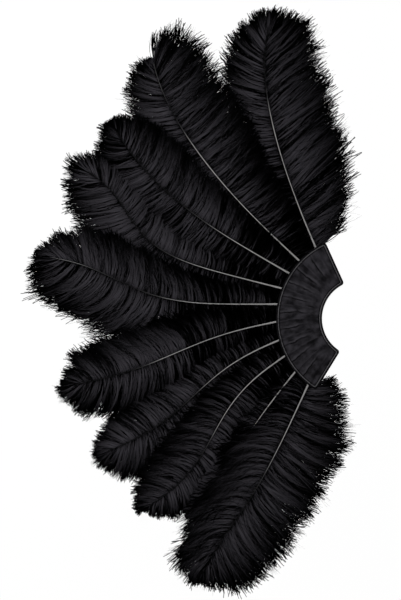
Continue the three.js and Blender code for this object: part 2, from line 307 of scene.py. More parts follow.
@dataclass(frozen=True)
class ClothFinish:
    """Black woven cloth with a short nap, paler in patches, with painted shade along a crease in each bay,
    a painted highlight beside it, and painted shade along its rim.

    creased_from, crease_run: where the crease starts, from the centre, and how far it takes to come in.
    """

    # How many there are to the metre.
    THREADS, NAPS, PATCHES, DRIFTS = 1500.0, 1400.0, 80.0, 60.0
    # How strong the weave, nap, painted crease shade, painted highlight beside it and painted rim shade are.
    WOVEN, NAPPED, LINED, LIT, RIMMED = 0.3, 0.25, 0.95, 0.45, 0.9
    # How far the patches follow the crease, and break it.
    STRETCH, BREAKS = 0.8, 0.4
    ROUGHNESS, DRIES, GLOSS = 0.72, 0.25, 0.05

    name: str
    dark: Colour = (0.0048, 0.0045, 0.0054)
    pale: Colour = (0.0330, 0.0310, 0.0365)
    # crease: the colour of painted shade, in the crease and along the rim; the next colour is a painted
    # highlight beside the crease.
    crease: Colour = (0.0012, 0.0011, 0.0014)
    painted_highlight: Colour = (0.0440, 0.0420, 0.0480)
    creased_from: float = 70 * MM
    crease_run: float = 14 * MM
    crease_band: float = 8 * MM
    crease_drift: float = 7 * MM
    rim_band: float = 8 * MM
    depth: float = 0.22 * MM

    def material(self) -> bpy.types.Material:
        """Returns the material, which reads the cloth's own three maps in metres.

        They hold its flat place, its distances from the crease and from the centre, and that from the edge.
        """
        shader = Shader(self.name)
        place = shader.map(CLOTH_MAP)
        x, y, _ = shader.split(place)
        off, radius, _ = shader.split(shader.map(FOLD_MAP))
        to_edge, _, _ = shader.split(shader.map(EDGE_MAP))
        patches = shader.noise(shader.join(x, y, off * self.STRETCH), self.PATCHES, detail=6.0)
        drift = shader.noise(place, self.DRIFTS, detail=2.0)
        nap = shader.noise(place, self.NAPS, detail=2.0)
        per_metre = self.THREADS * math.tau
        weave = shader.sine(x * per_metre) * shader.sine(y * per_metre) * 0.5 + 0.5
        # Paler and darker patches, stretched along the crease, with the weave and nap mixed in.
        colour = shader.ramp(patches, [(0.36, self.dark), (0.64, self.pale)])
        mottled = shader.tinted(colour, weave * self.WOVEN + nap * self.NAPPED, self.dark)
        across = (off + (drift - 0.5) * self.crease_drift) * (1 / self.crease_band) + 0.5
        fades = shader.rise((radius - self.creased_from) * (1 / self.crease_run), 0.0, 1.0)
        shows = fades * shader.rise(drift + patches * self.BREAKS, 0.5, 0.72)
        # Painted shade along the crease, and a painted highlight on the strip beside it.
        line = shader.ramp(across, [(0.3, BLACK), (0.46, WHITE), (0.54, WHITE), (0.66, BLACK)])
        beside = shader.ramp(across, [(0.55, BLACK), (0.7, WHITE), (0.76, WHITE), (1.0, BLACK)])
        lit = shader.tinted(mottled, beside * shows * self.LIT, self.painted_highlight)
        creased = shader.tinted(lit, line * shows * self.LINED, self.crease)
        # Painted shade along the rim, darkening the cloth near its edge.
        rim = shader.ramp(to_edge * (1 / self.rim_band), [(0.58, WHITE), (0.72, BLACK)])
        shader.set(
            Base_Color=shader.tinted(creased, rim * self.RIMMED, self.crease),
            Roughness=self.ROUGHNESS + nap * self.DRIES,
            Specular_IOR_Level=self.GLOSS,
        )
        shader.bump(weave * 0.5 + nap * 0.5 + patches * 0.6, self.depth)
        return shader.material


@dataclass(frozen=True)
class CordFinish:
    """Dark grey thread, twisted. twists: how many there are to the metre."""

    dark: Colour = (0.010, 0.0095, 0.0112)
    pale: Colour = (0.085, 0.082, 0.088)
    twists: float = 900.0
    plies: int = 2
    pale_at: float = 0.7
    roughness: float = 0.75
    smooths: float = 0.2
    gloss: float = 0.35
    depth: float = 0.2 * MM

    def material(self) -> bpy.types.Material:
        """Returns the material, which reads the cord's own map: metres along, turn across."""
        shader = Shader("grey_cord")
        along, around, _ = shader.split(shader.map(STRAND_MAP))
        lay = along * (self.twists * math.tau) + around * (self.plies * math.tau)
        ply = shader.sine(lay) * 0.5 + 0.5
        shader.set(
            Base_Color=shader.ramp(ply, [(0.0, self.dark), (self.pale_at, self.pale)]),
            Roughness=self.roughness - ply * self.smooths,
            Specular_IOR_Level=self.gloss,
        )
        shader.bump(ply, self.depth)
        return shader.material


@dataclass(frozen=True)
class FloorFinish:
    """A white sheet that reads as white to the camera and keeps a soft shadow. glow: how white it reads."""

    white: Colour = (0.93, 0.93, 0.93)
    roughness: float = 0.9
    glow: float = 0.95

    def material(self) -> bpy.types.Material:
        """Returns the material."""
        shader = Shader("white_floor")
        shader.set(Base_Color=self.white, Roughness=self.roughness, Specular_IOR_Level=0.0)
        light = shader.node("ShaderNodeEmission", inputs={"Color": WHITE, "Strength": 1.0})
        sheet = Socket(shader, shader.principled.outputs[0])
        kinds = ("Is Camera Ray", "Is Glossy Ray", "Is Transmission Ray")
        camera, gloss, through = (shader.node("ShaderNodeLightPath", output=kind) for kind in kinds)
        share = shader.node("ShaderNodeClamp", inputs={0: camera + gloss + through}) * self.glow
        both = shader.node("ShaderNodeMixShader", inputs={0: share, 1: sheet, 2: light})
        shader.feed(shader.surface.inputs["Surface"], both)
        return shader.material


class Side(Enum):
    """The two sides of a plume: over the neighbour towards +X, or under the other one."""

    OVER = 1
    UNDER = -1


@dataclass(frozen=True)
class Vane:
    """How the barbs grow on one side of a plume.

    barbs: their greatest length. sweep: degrees that they lean back from the usual angle.
    bend: degrees that each one turns forwards along its length. first, last: length of the first and the
    last ones, as a share. full: where along the quill they first have their full length. rests: whether
    their ends come down to the ground. splay: degrees that the first ones lean back further. shade: how
    much darker the first ones are, in tones, as painted shade. blunt: how far the ones before the last keep
    their length. lit: from where to where along the quill that painted shade ends. dusk: how much darker the
    last ones are.
    """

    # The usual angle to the quill: of the first barbs, how much less of the others, and of the very last.
    USUAL, FORWARD, LAST_FORWARD, LAST_POWER = 88, 30, 56, 16
    SPLAYED_TO = 0.16
    # Where the length rises, as a share of full, and how far it then is from first to full.
    RISES_AT, RISES = (0, 0.25, 0.62, 1), (0, 0.35, 0.75, 1)
    # Where it falls, and at the two places between, its least share and how much last adds to it.
    FALLS_AT, FALLS = (0.72, 0.86, 0.95, 1), ((0.84, 0.6), (0.4, 0.8))

    barbs: float
    sweep: float = 0.0
    bend: float = 20.0
    first: float = 0.25
    full: float = 0.62
    last: float = 0.25
    rests: bool = False
    splay: float = 0.0
    shade: float = 6.5
    blunt: float = 0.0
    lit: tuple[float, float] = (0.12, 0.46)
    dusk: float = 0.0

    def chord(self, u: np.ndarray) -> np.ndarray:
        """Returns the angle in degrees from a quill to its barbs, at a share of the way along the vane."""
        back = self.sweep + self.splay * np.interp(u, [0, self.SPLAYED_TO], [1, 0])
        return self.USUAL + back - self.FORWARD * u - self.LAST_FORWARD * u**self.LAST_POWER

    def share(self, u: np.ndarray) -> np.ndarray:
        """Returns the barbs' length at a share of the way along the vane, as a share of the longest."""
        places = [self.full * place for place in self.RISES_AT]
        rise = np.interp(u, places, [mix(self.first, 1, way) for way in self.RISES])
        fall = [mix(least, 1, max(self.last * adds, self.blunt)) for least, adds in self.FALLS]
        return rise * np.interp(u, self.FALLS_AT, [1, *fall, self.last])


@dataclass(frozen=True)
class Plume:
    """One plume: where its quill leaves the crescent, how it bends, and its two vanes. Angles in degrees.

    number: from 1 at the +X end. angle: where it leaves the crescent, from +Y. length: outside it. lean: how
    far it turns from that angle at once. belly, belly_at: how far it bulges and where, as a share. curl: how
    far its tip turns. pale: how far the quill is pale, as a share. tip: its tip's place in the colours.
    """

    number: int
    angle: float
    length: float
    lean: float
    belly: float
    belly_at: float
    curl: float
    over: Vane
    under: Vane
    pale: float = 0.45
    tip: float = 0.8

    @property
    def body(self) -> str:
        """The name of the body that it rides on."""
        return f"plume_{self.number:02d}"

    def vane(self, side: Side) -> Vane:
        """Returns the vane on a side."""
        return self.over if side is Side.OVER else self.under


def lower_vane(barbs: float, sweep: float, bend: float, last: float = 0.25, **more: object) -> Vane:
    """Returns the usual vane under a neighbour, whose barbs come down to the ground."""
    return Vane(barbs, sweep, bend, first=0.3, full=0.32, last=last, rests=True, **more)


PLUMES: tuple[Plume, ...] = (
    Plume(
        1, 54.5, 0.309, 8, 4, 0.45, 38, pale=0.68,
        over=Vane(
            0.094, -14, 5, first=0.55, full=0.25, last=0.3, rests=True, splay=-4, shade=1.0,
            lit=(0.6, 0.8), dusk=3.5,
        ),
        under=lower_vane(0.066, -8, 38, last=0.52, lit=(0.3, 0.58)),
    ),
    Plume(
        2, 40, 0.342, -1, 4, 0.5, 36, pale=0.68, tip=0.56,
        over=Vane(0.082, 14, 20, last=0.5, blunt=0.9, lit=(0.03, 0.24), dusk=4),
        under=lower_vane(0.068, -5, 42, last=0.12),
    ),
    Plume(
        3, 29, 0.315, -3, 4, 0.6, 33, pale=0.4,
        over=Vane(0.060, 0, 32, lit=(0.12, 0.32), dusk=4),
        under=lower_vane(0.062, 0, 38, dusk=5),
    ),
    Plume(
        4, 17.5, 0.321, -7, 34, 0.75, 22,
        over=Vane(0.056, 0, 40, last=0.6, rests=True),
        under=lower_vane(0.072, 0, 25, last=0.5),
    ),
    Plume(
        5, 6.3, 0.326, -10, 22, 0.68, 12, pale=0.47, tip=0.5,
        over=Vane(0.059, -8, 45, last=0.3),
        under=lower_vane(0.089, -10, 85, last=0.2, lit=(0.4, 0.52)),
    ),
    Plume(
        6, -5.8, 0.294, -9, -12, 0.5, 0, pale=0.62,
        over=Vane(0.060, 0, 55, lit=(0.3, 0.46)),
        under=Vane(0.065, -5, 50, first=0.15, full=0.85, last=0.4, rests=True, lit=(0.4, 0.54)),
    ),
    Plume(
        7, -18.5, 0.282, -8, -20, 0.5, 0,
        over=Vane(0.053, -5, 55, last=0.42, rests=True, lit=(0.1, 0.32)),
        under=lower_vane(0.064, -5, 45, last=0.4),
    ),
    Plume(
        8, -30, 0.284, -8, -27, 0.52, 0, pale=0.53,
        over=Vane(0.056, -5, 50, last=0.28, lit=(0.1, 0.3), dusk=1.5),
        under=lower_vane(0.045, 0, 38, last=0.2, lit=(0.2, 0.55)),
    ),
    Plume(
        9, -43, 0.240, -11, -5, 0.5, 0,
        over=Vane(0.036, 0, 42, rests=True, lit=(0.2, 0.5)),
        under=lower_vane(0.046, 0, 35),
    ),
    Plume(
        10, -55.5, 0.291, -12.5, 7, 0.7, 5,
        over=Vane(0.078, -24, 62, first=0.58, full=0.35, shade=3),
        under=Vane(0.085, 4, -28, first=0.42, full=0.2, last=0.2, rests=True, splay=30, shade=0),
    ),
)


@dataclass(frozen=True)
class Layout:
    """The sizes that the crescent and the plumes share with the solids."""

    outer: float = 116 * MM
    inner: float = 52.5 * MM
    half_spread: float = 62.0
    corner: float = 4 * MM
    cloth: float = 0.8 * MM
    clearance: float = 0.3 * MM
    pocket: float = 44 * MM
    fade: float = 9 * MM
    quill_root: float = 1.4 * MM
    quill_tip: float = 0.4 * MM
    rise: float = 9.5 * MM
    rise_run: float = 90 * MM

    @property
    def centre(self) -> Vector:
        """The point that the crescent is struck from."""
        return Vector((0.0, -(self.outer + self.inner) / 2))

    @property
    def root(self) -> float:
        """Distance from the centre to the quills' hidden ends."""
        return self.outer - self.pocket

    def polar(self, radius: float, angle: float) -> Vector:
        """Returns the point at a distance from the centre and an angle in degrees from +Y."""
        turn = math.radians(angle)
        return self.centre + Vector((math.sin(turn), math.cos(turn))) * radius

    def to_end(self, radius: float, angle: float) -> float:
        """Returns how far a point is from the nearer straight end, along its arc."""
        return math.radians(self.half_spread - abs(angle)) * radius

    def quill_height(self, radius: float) -> float:
        """Returns the height of a quill's middle at a distance from the centre."""
        pocket = self.cloth + self.clearance + self.quill_root
        return pocket + self.rise * smoothstep(radius, self.outer, self.outer + self.rise_run)


class QuillLine:
    """The middle line of a plume's quill. Distance s is 0 where it leaves the crescent."""

    STEP = 2 * MM

    def __init__(self, plume: Plume, layout: Layout) -> None:
        """Works out points along the line.

        Args:
            plume: the plume.
            layout: the fan's sizes.
        """
        self.plume, self.layout = plume, layout
        start = layout.polar(layout.outer, plume.angle)
        hidden = self._walk(start, -layout.pocket)
        shown = self._walk(start, plume.length)
        self.points = np.array(hidden[:0:-1] + shown)
        parts = [np.linspace(-layout.pocket, 0, len(hidden)), np.linspace(0, plume.length, len(shown))[1:]]
        self.stations = np.concatenate(parts)

    def heading(self, s: float) -> float:
        """Returns the line's direction in radians from +Y towards +X."""
        p = self.plume
        if s < 0:
            return math.radians(p.angle + p.lean * (1 + s / self.layout.pocket))
        t = min(s / p.length, 1.0)
        skew = math.log(0.5) / math.log(p.belly_at)
        bend = math.sin(math.pi * t**skew) ** 2
        return math.radians(p.angle + p.lean + p.belly * bend + p.curl * t**3)

    def _walk(self, start: Vector, distance: float) -> list[tuple[float, float]]:
        """Returns points from the start to a signed distance along the line."""
        count = max(2, math.ceil(abs(distance) / self.STEP))
        step = distance / count
        x, y = start
        walked = [(x, y)]
        for i in range(count):
            turn = self.heading((i + 0.5) * step)
            x, y = x + math.sin(turn) * step, y + math.cos(turn) * step
            walked.append((x, y))
        return walked

    def at(self, s: np.ndarray) -> np.ndarray:
        """Returns the points, with their heights, at distances along the line."""
        x, y = (np.interp(s, self.stations, self.points[:, k]) for k in (0, 1))
        centre = self.layout.centre
        radii = np.hypot(x - centre.x, y - centre.y)
        z = np.array([self.layout.quill_height(r) for r in np.atleast_1d(radii)])
        return np.stack([np.atleast_1d(x), np.atleast_1d(y), z], axis=-1)

    def thickness(self, s: np.ndarray) -> np.ndarray:
        """Returns the quill's radius at distances along the line."""
        low, high = self.stations[0], self.stations[-1]
        share = (np.asarray(s) - low) / (high - low)
        return self.layout.quill_root + (self.layout.quill_tip - self.layout.quill_root) * share

    def angle_at(self, radius: float) -> float:
        """Returns the angle in degrees at which the line passes a distance from the centre."""
        offset = self.points - np.array(self.layout.centre)
        radii = np.hypot(offset[:, 0], offset[:, 1])
        rising = slice(0, int(np.argmax(radii >= self.layout.outer)) + 2)
        angles = np.degrees(np.arctan2(offset[rising, 0], offset[rising, 1]))
        return float(np.interp(radius, radii[rising], angles))


def add_object(name: str, data: bpy.types.ID) -> bpy.types.Object:
    """Returns a new object with this data, linked to the scene."""
    made = bpy.data.objects.new(name, data)
    bpy.context.scene.collection.objects.link(made)
    return made


def new_curve(name: str) -> bpy.types.Curve:
    """Returns an empty curve in space, whose points keep their tilt from upright."""
    curve = bpy.data.curves.new(name, "CURVE")
    curve.dimensions, curve.twist_mode = "3D", "Z_UP"
    return curve


def new_rod(name: str, sides: int) -> bpy.types.Curve:
    """Returns an empty curve that makes closed round rods, as thick as its points' radii."""
    curve = new_curve(name)
    curve.bevel_depth, curve.bevel_resolution, curve.use_fill_caps = 1.0, sides, True
    return curve


def as_mesh(name: str, curve: bpy.types.Curve) -> bpy.types.Object:
    """Turns a curve into a mesh object of the same name, and removes the curve.

    Args:
        name: the piece's name.
        curve: the curve, with its splines.

    Returns:
        The new object, linked to the scene.
    """
    holder = add_object(f"{name}_line", curve)
    bpy.context.view_layer.update()
    graph = bpy.context.evaluated_depsgraph_get()
    mesh = bpy.data.meshes.new_from_object(holder.evaluated_get(graph))
    bpy.data.objects.remove(holder)
    bpy.data.curves.remove(curve)
    mesh.name = name
    mesh.shade_smooth()
    return add_object(name, mesh)


def add_spline(curve: bpy.types.Curve, points: np.ndarray, radii: np.ndarray, tilts: np.ndarray) -> None:
    """Adds one line of points to a curve.

    Args:
        curve: the curve.
        points: its points, one row each.
        radii: a radius for each point.
        tilts: a tilt for each point, in radians.
    """
    spline = curve.splines.new("POLY")
    spline.points.add(len(points) - 1)
    places = np.ones((len(points), 4), np.float32)
    places[:, :3] = points
    spline.points.foreach_set("co", places.ravel())
    spline.points.foreach_set("radius", radii.astype(np.float32))
    spline.points.foreach_set("tilt", tilts.astype(np.float32))


@dataclass(frozen=True)
class Ply:
    """One layer of a vane's strands.

    count: how many. half_width: of each. in_lock, in_tuft, own: how far, in degrees, their angles differ
    from lock to lock, from tuft to tuft and among themselves. draw: how far each tuft closes up. lower: how
    far the layer lies below the top one. dark: how much darker it is, in tones, which for the ply under the
    top one is painted shade. end: width of the ends, as a share.
    """

    count: int
    half_width: float
    in_lock: float
    in_tuft: float
    own: float
    draw: float
    lower: float
    dark: float
    end: float


class Gathering:
    """How the strands of a ply are shared out: strands in tufts, and tufts in locks."""

    def __init__(
        self, count: int, tufts: int, per_lock: tuple[float, float], rng: np.random.Generator
    ) -> None:
        """Draws the strands' places and the locks.

        Args:
            count: how many strands there are.
            tufts: how many tufts.
            per_lock: the least and the most tufts in a lock.
            rng: the source of chance.
        """
        self.count, self.tufts, self.rng = count, tufts, rng
        self.u = (np.arange(count) + rng.random(count)) / count
        self.tuft = np.minimum(np.floor(self.u * tufts).astype(int), tufts - 1)
        self.in_tuft = self.u * tufts - self.tuft - 0.5
        widths = rng.uniform(*per_lock, tufts)
        middles = np.arange(tufts) + 0.5
        lock_of = np.searchsorted(np.cumsum(widths), middles)
        self.lock = lock_of[self.tuft]
        sizes = np.bincount(lock_of)
        self.locks = len(sizes)
        self.lock_size = sizes[self.lock]
        self.in_lock = self.tuft + 0.5 - (np.bincount(lock_of, middles) / sizes)[self.lock]

    def chance(self, by_lock: float, by_tuft: float, own: float) -> np.ndarray:
        """Returns a value for each strand, part of it shared by its lock and its tuft."""
        shared = self.rng.normal(0, by_lock, self.locks)[self.lock]
        shared = shared + self.rng.normal(0, by_tuft, self.tufts)[self.tuft]
        return shared + self.rng.normal(0, own, self.count)

    def even(self, low: float, high: float) -> np.ndarray:
        """Returns an even value from low to high for each strand, shared by its lock."""
        return self.rng.uniform(low, high, self.locks)[self.lock]


@dataclass
class Barbs:
    """The loose barbs on one side of a plume: strands in fine tufts, and tufts in locks, over an even ply.

    tucked: their height inside the crescent. clears: where they come up from it. bare_at, bare: how far from
    the quill's middle they grow, in its radii, by distance. heights: chances of a strand's height, like those
    below. lift: of the ends that stand up. arch, arch_from, arch_run: of resting strands, from roots so high
    and over so much more. crown: of a tuft. sink: of all strands, to no less than least. drifts, swerve,
    gloom: how many broad changes there are along the vane, and their sizes in degrees and in tones.
    """

    # Chances, by lock, by tuft and of a strand's own: of its length, its end, its waves and its tone.
    REACH, STRAY, SWING, TONE = (0.05, 0.05, 0.02), (9.0, 9.0, 11.0), (3.0, 3.0, 0.0), (1.2, 2.2, 1.2)
    # The greatest share of its length that a strand has, and how much of it the shortest lose.
    LONGEST, SHORTENED = 1.035, 0.36
    # Where broad swerves end, where barbs bend less, and how much. How much more bends differ than angles.
    STEADY_AT, STRAIGHT_AT, STRAIGHT, LOOSER = (0.75, 0.9), (0.8, 0.97), 0.25, (2, 2, 3)
    # Waves: size in degrees, how far tufts are out of step, radians that they run through, share at first.
    WAVE, OUT_OF_STEP, WAVES, WAVE_START = 9.0, 0.7, 5, 0.4
    # How strands turn away from their tuft's middle, and by chance, in radians.
    LEAN, LEANS = 1.4, 0.25
    # Where the last barbs darken. Where in a lock the painted gap shade starts, how fast, and its tones.
    DUSK_AT, GAP_FROM, GAP_RUN, GAP = (0.7, 0.97), 0.5, 0.45, (2.0, 7.0)
    # Where a strand's width changes, and what it is, as a share, before its end.
    TAPERS_AT, TAPERS = (0, 0.15, 0.6, 1), (0.8, 1, 0.9)
    # Along a strand: how locks close up, how it settles from the quill, and how its own height comes in.
    LOCK_POWER, GRIP_POWER, OWN_POWER = 1.5, 6, 0.6
    # How resting strands fall, and how lifted ones rise.
    FALL_POWER, LIFT_SLOPE = 1.3, 1.7
    # How much of a tone's band in the map is left free at its edges.
    MARGIN = 0.05
    SEED_STEP, DRIFT_SEED_STEP = 1000, 500

    plume: Plume
    side: Side
    line: QuillLine
    plies: tuple[Ply, ...] = (
        Ply(2400, 0.6 * MM, 0.6, 0.6, 5.0, 0.0, 1.6 * MM, 6.6, 0.7),
        Ply(3100, 0.2 * MM, 2.4, 2.6, 1.2, 0.66, 0.0, 0.0, 0.3),
        Ply(520, 0.2 * MM, 4.0, 6.0, 11.0, 0.2, -0.2 * MM, 6.0, 0.3),
    )
    stations: int = 7
    start: float = -3 * MM
    tucked: float = 0.95 * MM
    clears: tuple[float, float] = (2 * MM, 14 * MM)
    grip: float = 0.3 * MM
    bare_at: tuple[float, ...] = (8 * MM, 80 * MM, 130 * MM, 180 * MM)
    bare: tuple[float, ...] = (1.0, 0.55, 0.55, 0.85)
    tuft_pitch: float = 1.9 * MM
    tufts_in_lock: tuple[float, float] = (1.0, 2.6)
    heights: tuple[float, float, float] = (0.6 * MM, 0.4 * MM, 0.3 * MM)
    lift: float = 5 * MM
    arch: float = 2.4 * MM
    arch_from: float = 3 * MM
    arch_run: float = 7 * MM
    end_level: float = 1.6 * MM
    crown: float = 2.4 * MM
    sink: float = 0.5 * MM
    least: float = 0.4 * MM
    tones: int = 8
    drifts: int = 11
    swerve: float = 5.0
    gloom: float = 1.1

    @property
    def vane(self) -> Vane:
        """The vane that the barbs make up."""
        return self.plume.vane(self.side)

    def build(self, material: bpy.types.Material) -> bpy.types.Object:
        """Makes the piece.

        Args:
            material: the barbs' finish.

        Returns:
            The object, riding on its plume.
        """
        rng = np.random.default_rng(self.SEED_STEP * self.plume.number + self.side.value)
        name = f"barbs_{self.side.name.lower()}_{self.plume.number:02d}"
        curve = new_curve(name)
        curve.extrude = 1.0
        places = np.linspace(0, 1, self.stations + 1)
        tones = []
        for ply in self.plies:
            widths = np.interp(places, self.TAPERS_AT, [*self.TAPERS, ply.end]) * ply.half_width
            points, tilts, shades = self._strands(ply, rng)
            tones.append(shades)
            for strand, tilt in zip(points, tilts):
                add_spline(curve, strand, widths, np.full(len(widths), tilt))
        piece = as_mesh(name, curve)
        self._map(piece.data, np.concatenate(tones))
        piece.data.materials.append(material)
        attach(piece, self.plume.body)
        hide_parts(f"vane_{self.side.name.lower()}_{self.plume.number:02d}")
        return piece

    def _strands(self, ply: Ply, rng: np.random.Generator) -> tuple[np.ndarray, np.ndarray, np.ndarray]:
        """Works out every strand of a ply.

        Args:
            ply: the ply.
            rng: the source of chance.

        Returns:
            Points of shape (strands, stations + 1, 3), and for each strand a tilt in radians and a tone.
        """
        tufts = round((self.plume.length - self.start) / self.tuft_pitch)
        held = Gathering(ply.count, tufts, self.tufts_in_lock, rng)
        swerve, gloom = self._drifts(held.u)
        points = self._points(ply, held, swerve)
        tilts = math.pi / 2 + self.LEAN * held.in_tuft + rng.normal(0, self.LEANS, ply.count)
        return points, tilts, self._tones(ply, held, gloom)

    def _drifts(self, u: np.ndarray) -> Iterator[np.ndarray]:
        """Yields the broad changes along the vane, in the barbs' angles and in their tones."""
        broad = np.random.default_rng(self.DRIFT_SEED_STEP * self.plume.number + self.side.value)
        knots = np.linspace(0, 1, self.drifts)
        for size in (self.swerve, self.gloom):
            yield np.interp(u, knots, broad.normal(0, size, self.drifts))

    def _points(self, ply: Ply, held: Gathering, swerve: np.ndarray) -> np.ndarray:
        """Draws what each strand does, and follows it from the quill to its end.

        Args:
            ply: the ply.
            held: how its strands are shared out.
            swerve: the broad change of their angles.

        Returns:
            Points of shape (strands, stations + 1, 3).
        """
        vane, u = self.vane, held.u
        reach = vane.barbs * vane.share(u) * (1 + held.chance(*self.REACH))
        reach = reach * (self.LONGEST - self.SHORTENED * held.rng.random(ply.count) ** 2)
        chord = vane.chord(u) + swerve * np.interp(u, self.STEADY_AT, [1, 0])
        chord = chord + held.chance(ply.in_lock, ply.in_tuft, ply.own)
        bend = vane.bend * np.interp(u, self.STRAIGHT_AT, [1, self.STRAIGHT])
        differ = zip(self.LOOSER, (ply.in_lock, ply.in_tuft, ply.own))
        bend = bend + held.chance(*(looser * size for looser, size in differ))
        stray = held.chance(*self.STRAY)
        swing = self.WAVE + held.chance(*self.SWING)
        wave = held.even(0, math.tau) + held.rng.normal(0, self.OUT_OF_STEP, held.tufts)[held.tuft]
        height = held.chance(*self.heights) - ply.lower
        s = self.start + u * (self.plume.length - self.start)
        roots, quill = self.line.at(s), self.line.thickness(s)
        turn = np.array([self.line.heading(x) for x in s])
        along = np.stack([np.sin(turn), np.cos(turn)], -1)
        across = np.stack([np.cos(turn), -np.sin(turn)], -1) * self.side.value
        flat = roots[:, :2] + across * (quill * np.interp(s, self.bare_at, self.bare))[:, None]
        to_tuft = (held.in_tuft * self.tuft_pitch)[:, None] * along
        to_lock = (held.in_lock * self.tuft_pitch)[:, None] * along
        clear = np.interp(s, self.clears, [0, 1])
        step = (reach / self.stations)[:, None]
        points = np.empty((ply.count, self.stations + 1, 3))
        for j in range(self.stations + 1):
            t = j / self.stations
            level = self._level(roots[:, 2], height, held.in_tuft, t)
            level = level + (quill + self.grip) * (1 - t) ** self.GRIP_POWER
            points[:, j, :2] = flat - (to_tuft * t + to_lock * t**self.LOCK_POWER) * ply.draw
            points[:, j, 2] = mix(self.tucked, level, clear)
            curl = swing * np.sin(wave + self.WAVES * t) * (self.WAVE_START + t) + stray * t**2
            angle = np.radians(chord + bend * (0.5 - t - 0.5 / self.stations) + curl)
            flat = flat + (along * np.cos(angle)[:, None] + across * np.sin(angle)[:, None]) * step
        return points

    def _level(self, root: np.ndarray, own: np.ndarray, in_tuft: np.ndarray, t: float) -> np.ndarray:
        """Works out the strands' heights at a share of the way along them.

        Args:
            root: heights at the quill.
            own: how much each strand stands above or below the rest.
            in_tuft: each strand's place in its tuft.
            t: the share.

        Returns:
            The heights.
        """
        if self.vane.rests:
            arch = self.arch * np.clip((root - self.arch_from) / self.arch_run, 0, 1)
            level = root * (1 - t**self.FALL_POWER) + self.end_level * t + arch * math.sin(math.pi * t)
        else:
            level = root + self.lift * (self.LIFT_SLOPE * t - t * t)
        crown = -self.crown * in_tuft**2
        return np.maximum(level + (own + crown) * t**self.OWN_POWER - self.sink, self.least)

    def _tones(self, ply: Ply, held: Gathering, gloom: np.ndarray) -> np.ndarray:
        """Draws each strand's tone, from 0 for the palest: a random tone with painted shade added.

        Args:
            ply: the ply.
            held: how its strands are shared out.
            gloom: the broad change of their tones.

        Returns:
            The tones, as whole numbers.
        """
        vane = self.vane
        # Painted shade: the first barbs, near the crescent, are darker until the stretch given by lit; dusk
        # darkens the last ones.
        shaded = vane.shade * np.interp(held.u, vane.lit, [1, 0])
        shaded = shaded + vane.dusk * np.interp(held.u, self.DUSK_AT, [0, 1])
        # Painted shade in the gaps between one lock and the next.
        from_middle = 2 * (held.in_lock + held.in_tuft) / held.lock_size
        between = np.clip((np.abs(from_middle) - self.GAP_FROM) / self.GAP_RUN, 0, 1)
        gap_shade = held.even(*self.GAP) * between
        # ply.dark darkens a ply; for the ply under the top one it is painted shade. gloom and chance vary the
        # tone at random.
        tones = ply.dark + shaded + gloom + gap_shade + held.chance(*self.TONE)
        return np.clip(tones, 0, self.tones - 1).astype(int)

    def _map(self, mesh: bpy.types.Mesh, tones: np.ndarray) -> None:
        """Writes the strands' own map: run along, tone across."""
        layer = mesh.uv_layers[0]
        layer.name = STRAND_MAP
        places = np.empty(len(mesh.loops) * 2, np.float32)
        layer.uv.foreach_get("vector", places)
        places = places.reshape(len(tones), -1, 2)
        inside = places[:, :, 1] * (1 - 2 * self.MARGIN) + self.MARGIN
        places[:, :, 1] = (inside + tones[:, None]) / self.tones
        layer.uv.foreach_set("vector", places.ravel())
        mesh.uv_layers.new(name=BAKE_MAP)


@dataclass
class Quill:
    """A plume's quill: a tapered, bent shaft.

    darkens, tip_from: where it is dark, and where its tip's colour starts. places: in its colours, before.
    """

    plume: Plume
    line: QuillLine
    points: int = 90
    sides: int = 3
    darkens: float = 0.4
    tip_from: float = 0.9
    places: tuple[float, float, float] = (0, 0.45, 0.75)

    def build(self, material: bpy.types.Material) -> bpy.types.Object:
        """Makes the piece.

        Args:
            material: the quill's finish.

        Returns:
            The object, riding on its plume.
        """
        name = f"shaft_{self.plume.number:02d}"
        curve = new_rod(name, self.sides)
        s = np.linspace(self.line.stations[0], self.line.stations[-1], self.points)
        add_spline(curve, self.line.at(s), self.line.thickness(s), np.zeros(self.points))
        piece = as_mesh(name, curve)
        self._map(piece.data)
        piece.data.materials.append(material)
        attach(piece, self.plume.body)
        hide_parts(f"quill_{self.plume.number:02d}")
        return piece

    def _map(self, mesh: bpy.types.Mesh) -> None:
        """Writes the quill's own map: place in its colours along, turn across."""
        layer = mesh.uv_layers[0]
        layer.name = STRAND_MAP
        places = np.empty((len(mesh.loops), 2), np.float32)
        layer.uv.foreach_get("vector", places.ravel())
        pale, tip = self.plume.pale, self.plume.tip
        ends = [0, pale, mix(pale, 1, self.darkens), self.tip_from, 1]
        places[:, 0] = np.interp(places[:, 0], ends, [*self.places, tip, tip])
        layer.uv.foreach_set("vector", places.ravel())


class Layer(Enum):
    """The two cloths of the crescent."""

    FRONT = "front_cover"
    BACK = "back_cover"


@dataclass(frozen=True)
class Bay:
    """A stretch of the crescent, from its inner to its outer edge. Its lines are angles at a distance.

    name: its name. low, high: its two sides. held: the lines in it that follow its bodies. bodies: the body
    that each of those lines follows. crease: its crease. end: -1 or 1 where it has an end of the crescent.
    """

    name: str
    low: Line
    high: Line
    held: tuple[Line, Line]
    bodies: tuple[str, str]
    crease: Line
    end: int = 0

    def angle(self, radius: float, share: float) -> float:
        """Returns the angle a share of the way across the bay."""
        return mix(self.low(radius), self.high(radius), share)


